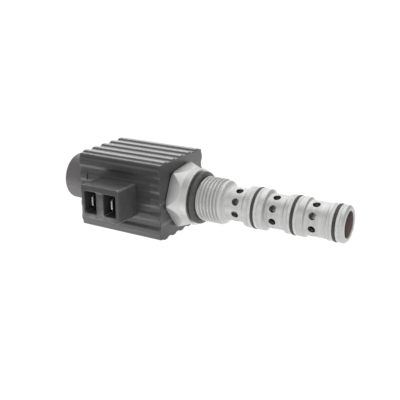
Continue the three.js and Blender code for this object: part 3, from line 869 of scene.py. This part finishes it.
def rounded_box(x, y, z, r, steps=5, top_scale=1.0):
    """A block along Y with rounded long edges. Its -Y end may be a little smaller, as moulding draft leaves it."""
    outline = fillet([(x[0], z[0], r), (x[1], z[0], r), (x[1], z[1], r), (x[0], z[1], r)], steps=steps)
    cx, cz = sum(x) / 2, sum(z) / 2
    verts, faces = [], []
    for yy, s in ((y[0], top_scale), (y[1], 1.0)):
        for a, b in outline:
            verts.append((cx + (a - cx) * s, yy, cz + (b - cz) * s))
    n = len(outline)
    faces.append(list(range(n)))
    faces.append(list(range(2 * n - 1, n - 1, -1)))
    for k in range(n):
        j = (k + 1) % n
        faces.append([k, n + k, n + j, j])
    return verts, faces


block = coil_body()
CON_X, CON_Z, CON_FACE = (-46.75, -24.75), (-8.4, 8.4), -34.3
SOCKETS, SOCKET_Z, FLOOR = [(-44.9, -37.8), (-33.4, -26.3)], (-5.5, 5.5), -20.2
BLADES, BLADE_Z = (-41.5, -29.9), 0.0

finish_piece(block, "coil", MOULD, "coil_mould", sharp=42)

shroud = mesh_object("shroud_moulding", *rounded_box(CON_X, (CON_FACE, -18.2), CON_Z, 0.9))
for sx in SOCKETS:
    carve(shroud, rounded_box(sx, (CON_FACE - 1, FLOOR), SOCKET_Z, 0.7))
finish_piece(shroud, "coil", MOULD, "connector_shroud", sharp=42, bevel=0.32, bevel_steps=3, bevel_angle=50)


def blade(name, x, node):
    hw, t, tip, root = 3.15, 0.4, -32.4, -15.3
    outline = [(root, -hw), (tip + 1.3, -hw), (tip, -hw + 1.1), (tip, hw - 1.1), (tip + 1.3, hw), (root, hw)]
    outline = fillet([(a, b, 0.25) for a, b in outline], steps=2)
    hole = [(tip + 3.6 + 0.8 * math.cos(TAU * k / 24), 0.8 * math.sin(TAU * k / 24)) for k in range(24)]
    verts = [(x - t, a, BLADE_Z + b) for a, b in outline] + [(x - t, a, BLADE_Z + b) for a, b in hole]
    n, h = len(outline), len(hole)
    verts += [(x + t, v[1], v[2]) for v in verts]
    tri = tessellate_polygon([[Vector((a, b, 0)) for a, b in outline], [Vector((a, b, 0)) for a, b in reversed(hole)]])
    ids = list(range(n)) + list(range(n + h - 1, n - 1, -1))
    total = n + h
    faces = [[ids[q] for q in f] for f in tri] + [[ids[q] + total for q in reversed(f)] for f in tri]
    for k in range(n):
        j = (k + 1) % n
        faces.append([k, j, total + j, total + k])
    for k in range(h):
        j = (k + 1) % h
        faces.append([n + k, total + n + k, total + n + j, n + j])
    obj = mesh_object(name, verts, faces)
    return finish_piece(obj, "coil", TIN, node, sharp=40, bevel=0.12, bevel_steps=2, bevel_angle=50)


blade("blade_rear", BLADES[0], "spade_terminal_rear")
blade("blade_front", BLADES[1], "spade_terminal_front")

for name, lo, node in (("rear_pole_washer", -56.3, "flux_washer_rear"), ("front_pole_washer", -15.4, "flux_washer_front")):
    obj = mesh_object(name, *revolve(fillet([(lo, 8.3, 0.2), (lo, 16.6, 0.3), (lo + 2.7, 16.6, 0.3), (lo + 2.7, 8.3, 0.2)], steps=3), 120))
    finish_piece(obj, "coil", STEEL, node, sharp=38)
shell = mesh_object("magnet_shell", *revolve(fillet([(-53.3, 15.0, 0.15), (-53.3, 16.6, 0.3), (-15.7, 16.6, 0.3), (-15.7, 15.0, 0.15)], steps=3), 120))
carve(shell, box_mesh((-43.5, -27.9), (-20, -8), (-4.2, 4.2)))
finish_piece(shell, "coil", STEEL, "flux_shell", sharp=38)

reel = mesh_object("coil_reel", *revolve(fillet([
    (-53.2, 8.3, 0.15), (-53.2, 14.6, 0.35), (-51.9, 14.6, 0.35), (-51.9, 9.3, 0.2), (-17.1, 9.3, 0.2), (-17.1, 14.6, 0.35), (-15.8, 14.6, 0.35), (-15.8, 8.3, 0.15),
], steps=3), 96))
finish_piece(reel, "coil", NYLON, "bobbin", sharp=38)

wire, turns_profile = 0.56, []
n_wires = int(34.0 / wire)
x = -51.5
for k in range(n_wires):
    for q in range(4):
        a = math.pi * (q + 0.5) / 4
        turns_profile.append((x + wire * (0.5 - 0.5 * math.cos(a)), 14.02 + 0.28 * math.sin(a)))
    x += wire
turns_profile = [(-51.5, 9.6)] + turns_profile + [(-17.5, 9.6)]
wound = mesh_object("copper_winding", *revolve(turns_profile, 72))
finish_piece(wound, "coil", COPPER, "winding", sharp=70)


# ------------------------------------------------------------------ coil nut, finely fluted for the fingers
def coil_nut():
    outer, front, rear, flutes = 12.25, -59.5, -76.3, 96
    seg = flutes * 5

    def shape(x, r, t):
        if r < 11.9:
            return r
        depth = 0.085 * min(1.0, max(0.0, (-61.5 - x) / 0.5)) * min(1.0, max(0.0, (x + 75.0) / 0.5))
        return r - depth * (0.5 - 0.5 * math.cos(flutes * t))

    line = [(front, 11.2), (front, outer - 0.35, 0.25), (front - 0.35, outer, 0.25), (front - 2.0, outer), (front - 2.2, outer), (front - 2.5, outer), (-67.5, outer), (-74.5, outer), (-74.8, outer), (-75.0, outer),
            (rear + 0.55, outer, 0.5), (rear, outer - 0.75, 0.6), (rear, 8.2, 0.3), (rear + 0.35, 7.8, 0.3), (rear + 0.35, 0)]
    skin = fillet(line, closed=False, steps=5)
    hollow = fillet([
        (-71.3, 0), (-71.3, 5.3, 0.15), (-64.5, 5.3, 0.15), (-64.5, 8.25, 0.15), (front - 2.2, 8.25, 0.15), (front - 2.2, 11.0, 0.2), (front - 0.2, 11.0, 0.1), (front, 11.2),
    ], closed=False, steps=3)
    a = revolve(skin, seg, closed=False, shape=shape)
    b = revolve(hollow, seg, closed=False)
    obj = mesh_object("nut_body", *join(a, b))
    return finish_piece(obj, "coil_nut", CAP, "coil_nut", sharp=45)


coil_nut()

# ------------------------------------------------------------------ floor and light
def plane(name, size, z):
    mesh = bpy.data.meshes.new(name)
    s = size / 2
    mesh.from_pydata([(-s, -s, z), (s, -s, z), (s, s, z), (-s, s, z)], [], [(0, 1, 2, 3)])
    obj = bpy.data.objects.new(name, mesh)
    bpy.context.scene.collection.objects.link(obj)
    return obj


floor = plane("floor", 12.0, -0.034)
# White paper, seen as plain white by the camera. To all other rays it glows, with a painted darker patch and a painted
# brighter glow and strip beside the coil, as light for the moulding to reflect.
paper = bpy.data.materials.new("white_paper")
paper.use_nodes = True
tree = paper.node_tree
tree.nodes.clear()
paper_out = tree.nodes.new("ShaderNodeOutputMaterial")
seen = tree.nodes.new("ShaderNodeEmission")
seen.inputs["Strength"].default_value = 1.05
lit = tree.nodes.new("ShaderNodeEmission")
split = tree.nodes.new("ShaderNodeSeparateXYZ")
tree.links.new(tree.nodes.new("ShaderNodeTexCoord").outputs["Object"], split.inputs[0])
# painted shade and painted light in the floor's glow: a darker patch, a brighter glow and a brighter strip
patch = calc(tree, "MULTIPLY", span(tree, split.outputs["X"], -0.060, -0.025, 1, 0), span(tree, split.outputs["Y"], -0.100, -0.070, 1, 0))
glow = calc(tree, "MULTIPLY", calc(tree, "MULTIPLY", span(tree, split.outputs["X"], -0.02, 0.02, 0, 1), span(tree, split.outputs["X"], 0.075, 0.100, 1, 0)), span(tree, split.outputs["Y"], 0.02, 0.05, 0, 1))
strip = calc(tree, "MULTIPLY", calc(tree, "MULTIPLY", span(tree, split.outputs["Y"], -0.080, -0.064, 0, 1), span(tree, split.outputs["Y"], -0.035, -0.020, 1, 0)), span(tree, split.outputs["X"], -0.030, 0.0, 1, 0))
extra = calc(tree, "ADD", span(tree, glow, 0, 1, 0, 1.5), span(tree, strip, 0, 1, 0, 1.9))
tree.links.new(calc(tree, "ADD", span(tree, patch, 0, 1, 1.02, 0.36), extra), lit.inputs["Strength"])
choose = tree.nodes.new("ShaderNodeMixShader")
tree.links.new(tree.nodes.new("ShaderNodeLightPath").outputs["Is Camera Ray"], choose.inputs[0])
tree.links.new(lit.outputs[0], choose.inputs[1])
tree.links.new(seen.outputs[0], choose.inputs[2])
tree.links.new(choose.outputs[0], paper_out.inputs[0])
floor.data.materials.append(paper)

world = bpy.data.worlds.new("studio")
bpy.context.scene.world = world
world.use_nodes = True
background = world.node_tree.nodes["Background"]
background.inputs["Color"].default_value = (1.0, 1.0, 1.0, 1)
background.inputs["Strength"].default_value = 0.56


def softbox(name, location, target, size, radiance):
    data = bpy.data.lights.new(name, "AREA")
    data.shape = "RECTANGLE"
    data.size, data.size_y = size
    data.energy = radiance * size[0] * size[1] * math.pi
    obj = bpy.data.objects.new(name, data)
    obj.location = location
    obj.rotation_euler = (Vector(target) - Vector(location)).to_track_quat("-Z", "Y").to_euler()
    bpy.context.scene.collection.objects.link(obj)
    return obj


softbox("top_box", (0.05, 0.10, 0.60), (0.0, 0, 0), (0.9, 0.7), 1.1)
softbox("back_box", (-0.30, 0.62, 0.30), (0.0, 0, 0), (0.9, 0.7), 0.9)
softbox("front_box", (0.35, -0.55, 0.30), (0.02, 0, 0), (0.5, 0.35), 0.5)

# a stronger light from behind, and a small one from the left, for the mouldings alone
gloss_box = softbox("gloss_box", (-0.36, 0.62, 0.28), (-0.03, 0, 0), (0.9, 0.6), 2.2)
side_box = softbox("side_box", (-0.33, -0.42, 0.42), (-0.03, 0, 0), (0.45, 0.25), 1.6)
mouldings = bpy.data.collections.new("mouldings")
for name in ("coil_block", "shroud_moulding", "nut_body"):
    mouldings.objects.link(bpy.data.objects[name])
gloss_box.light_linking.receiver_collection = mouldings
side_box.light_linking.receiver_collection = mouldings

# a broad soft light from the left for the metal alone
metal_box = softbox("metal_box", (-0.42, -0.70, 0.24), (0.03, 0, 0), (1.0, 0.6), 0.62)
metals = bpy.data.collections.new("metals")
for obj in list(bpy.context.scene.collection.objects):
    if obj.name in ("adapter_body", "cage_sleeve", "spool_body") or obj.name.startswith("land_backup"):
        metals.objects.link(obj)
metal_box.light_linking.receiver_collection = metals

scene = bpy.context.scene
scene.view_settings.view_transform = "Standard"
scene.view_settings.look = "None"
scene.view_settings.exposure = 0.0
scene.view_settings.gamma = 1.0
